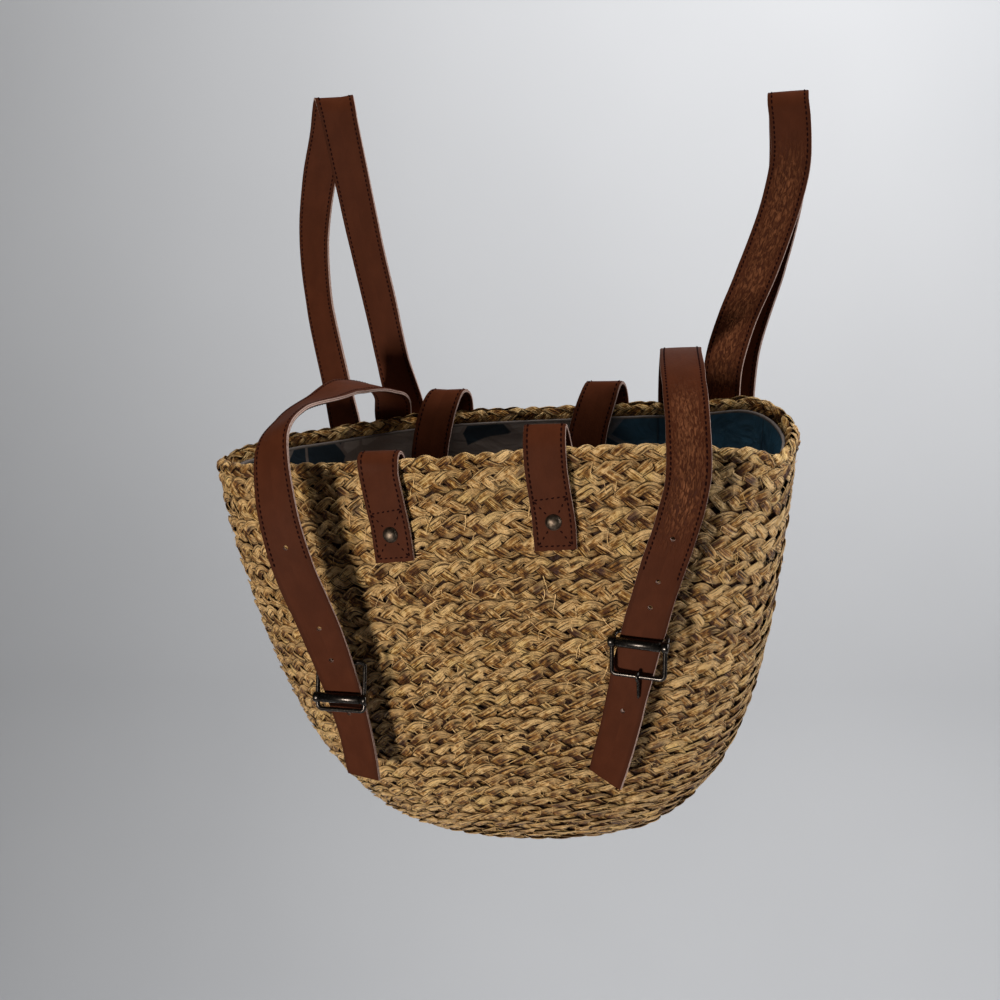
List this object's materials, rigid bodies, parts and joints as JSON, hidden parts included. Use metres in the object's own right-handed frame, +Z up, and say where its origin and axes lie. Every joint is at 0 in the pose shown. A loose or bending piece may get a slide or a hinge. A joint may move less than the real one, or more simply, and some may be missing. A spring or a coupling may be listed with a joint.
{
  "type": "cooler backpack",
  "caption": "Plaited straw cooler bag worn as a backpack, with brown leather shoulder straps, carry handles and buckled closing straps over an insulated lining",
  "frame": {"origin": "where the bag hangs, midway between the undersides of the tops of the two shoulder straps", "axes": "+Z up as the bag hangs, +Y from the front to the back wall that rests on the wearer, +X to the right seen from the front"},
  "size_m": [0.3929, 0.2425, 0.4884],
  "materials": {
    "straw": "plaited natural straw, matt to satin, golden tan",
    "lining": "glossy coated insulated lining, dark teal with a pale leaf print",
    "leather": "dark reddish brown two-ply leather with stitched edges",
    "metal": "polished gunmetal plating"
  },
  "bodies": {
    "root": {"basket": "straw", "rim_braid": "straw", "lining": "lining", "shoulder_strap_left": "leather", "shoulder_strap_right": "leather", "handle_front": "leather", "handle_back": "leather", "rivet_front_left": "metal", "rivet_front_right": "metal", "rivet_back_left": "metal", "rivet_back_right": "metal", "closing_strap_left": "leather", "closing_strap_right": "leather", "buckle_frame_left": "metal", "buckle_frame_right": "metal", "buckle_prong_left": "metal", "buckle_prong_right": "metal"}
  },
  "joints": []
}
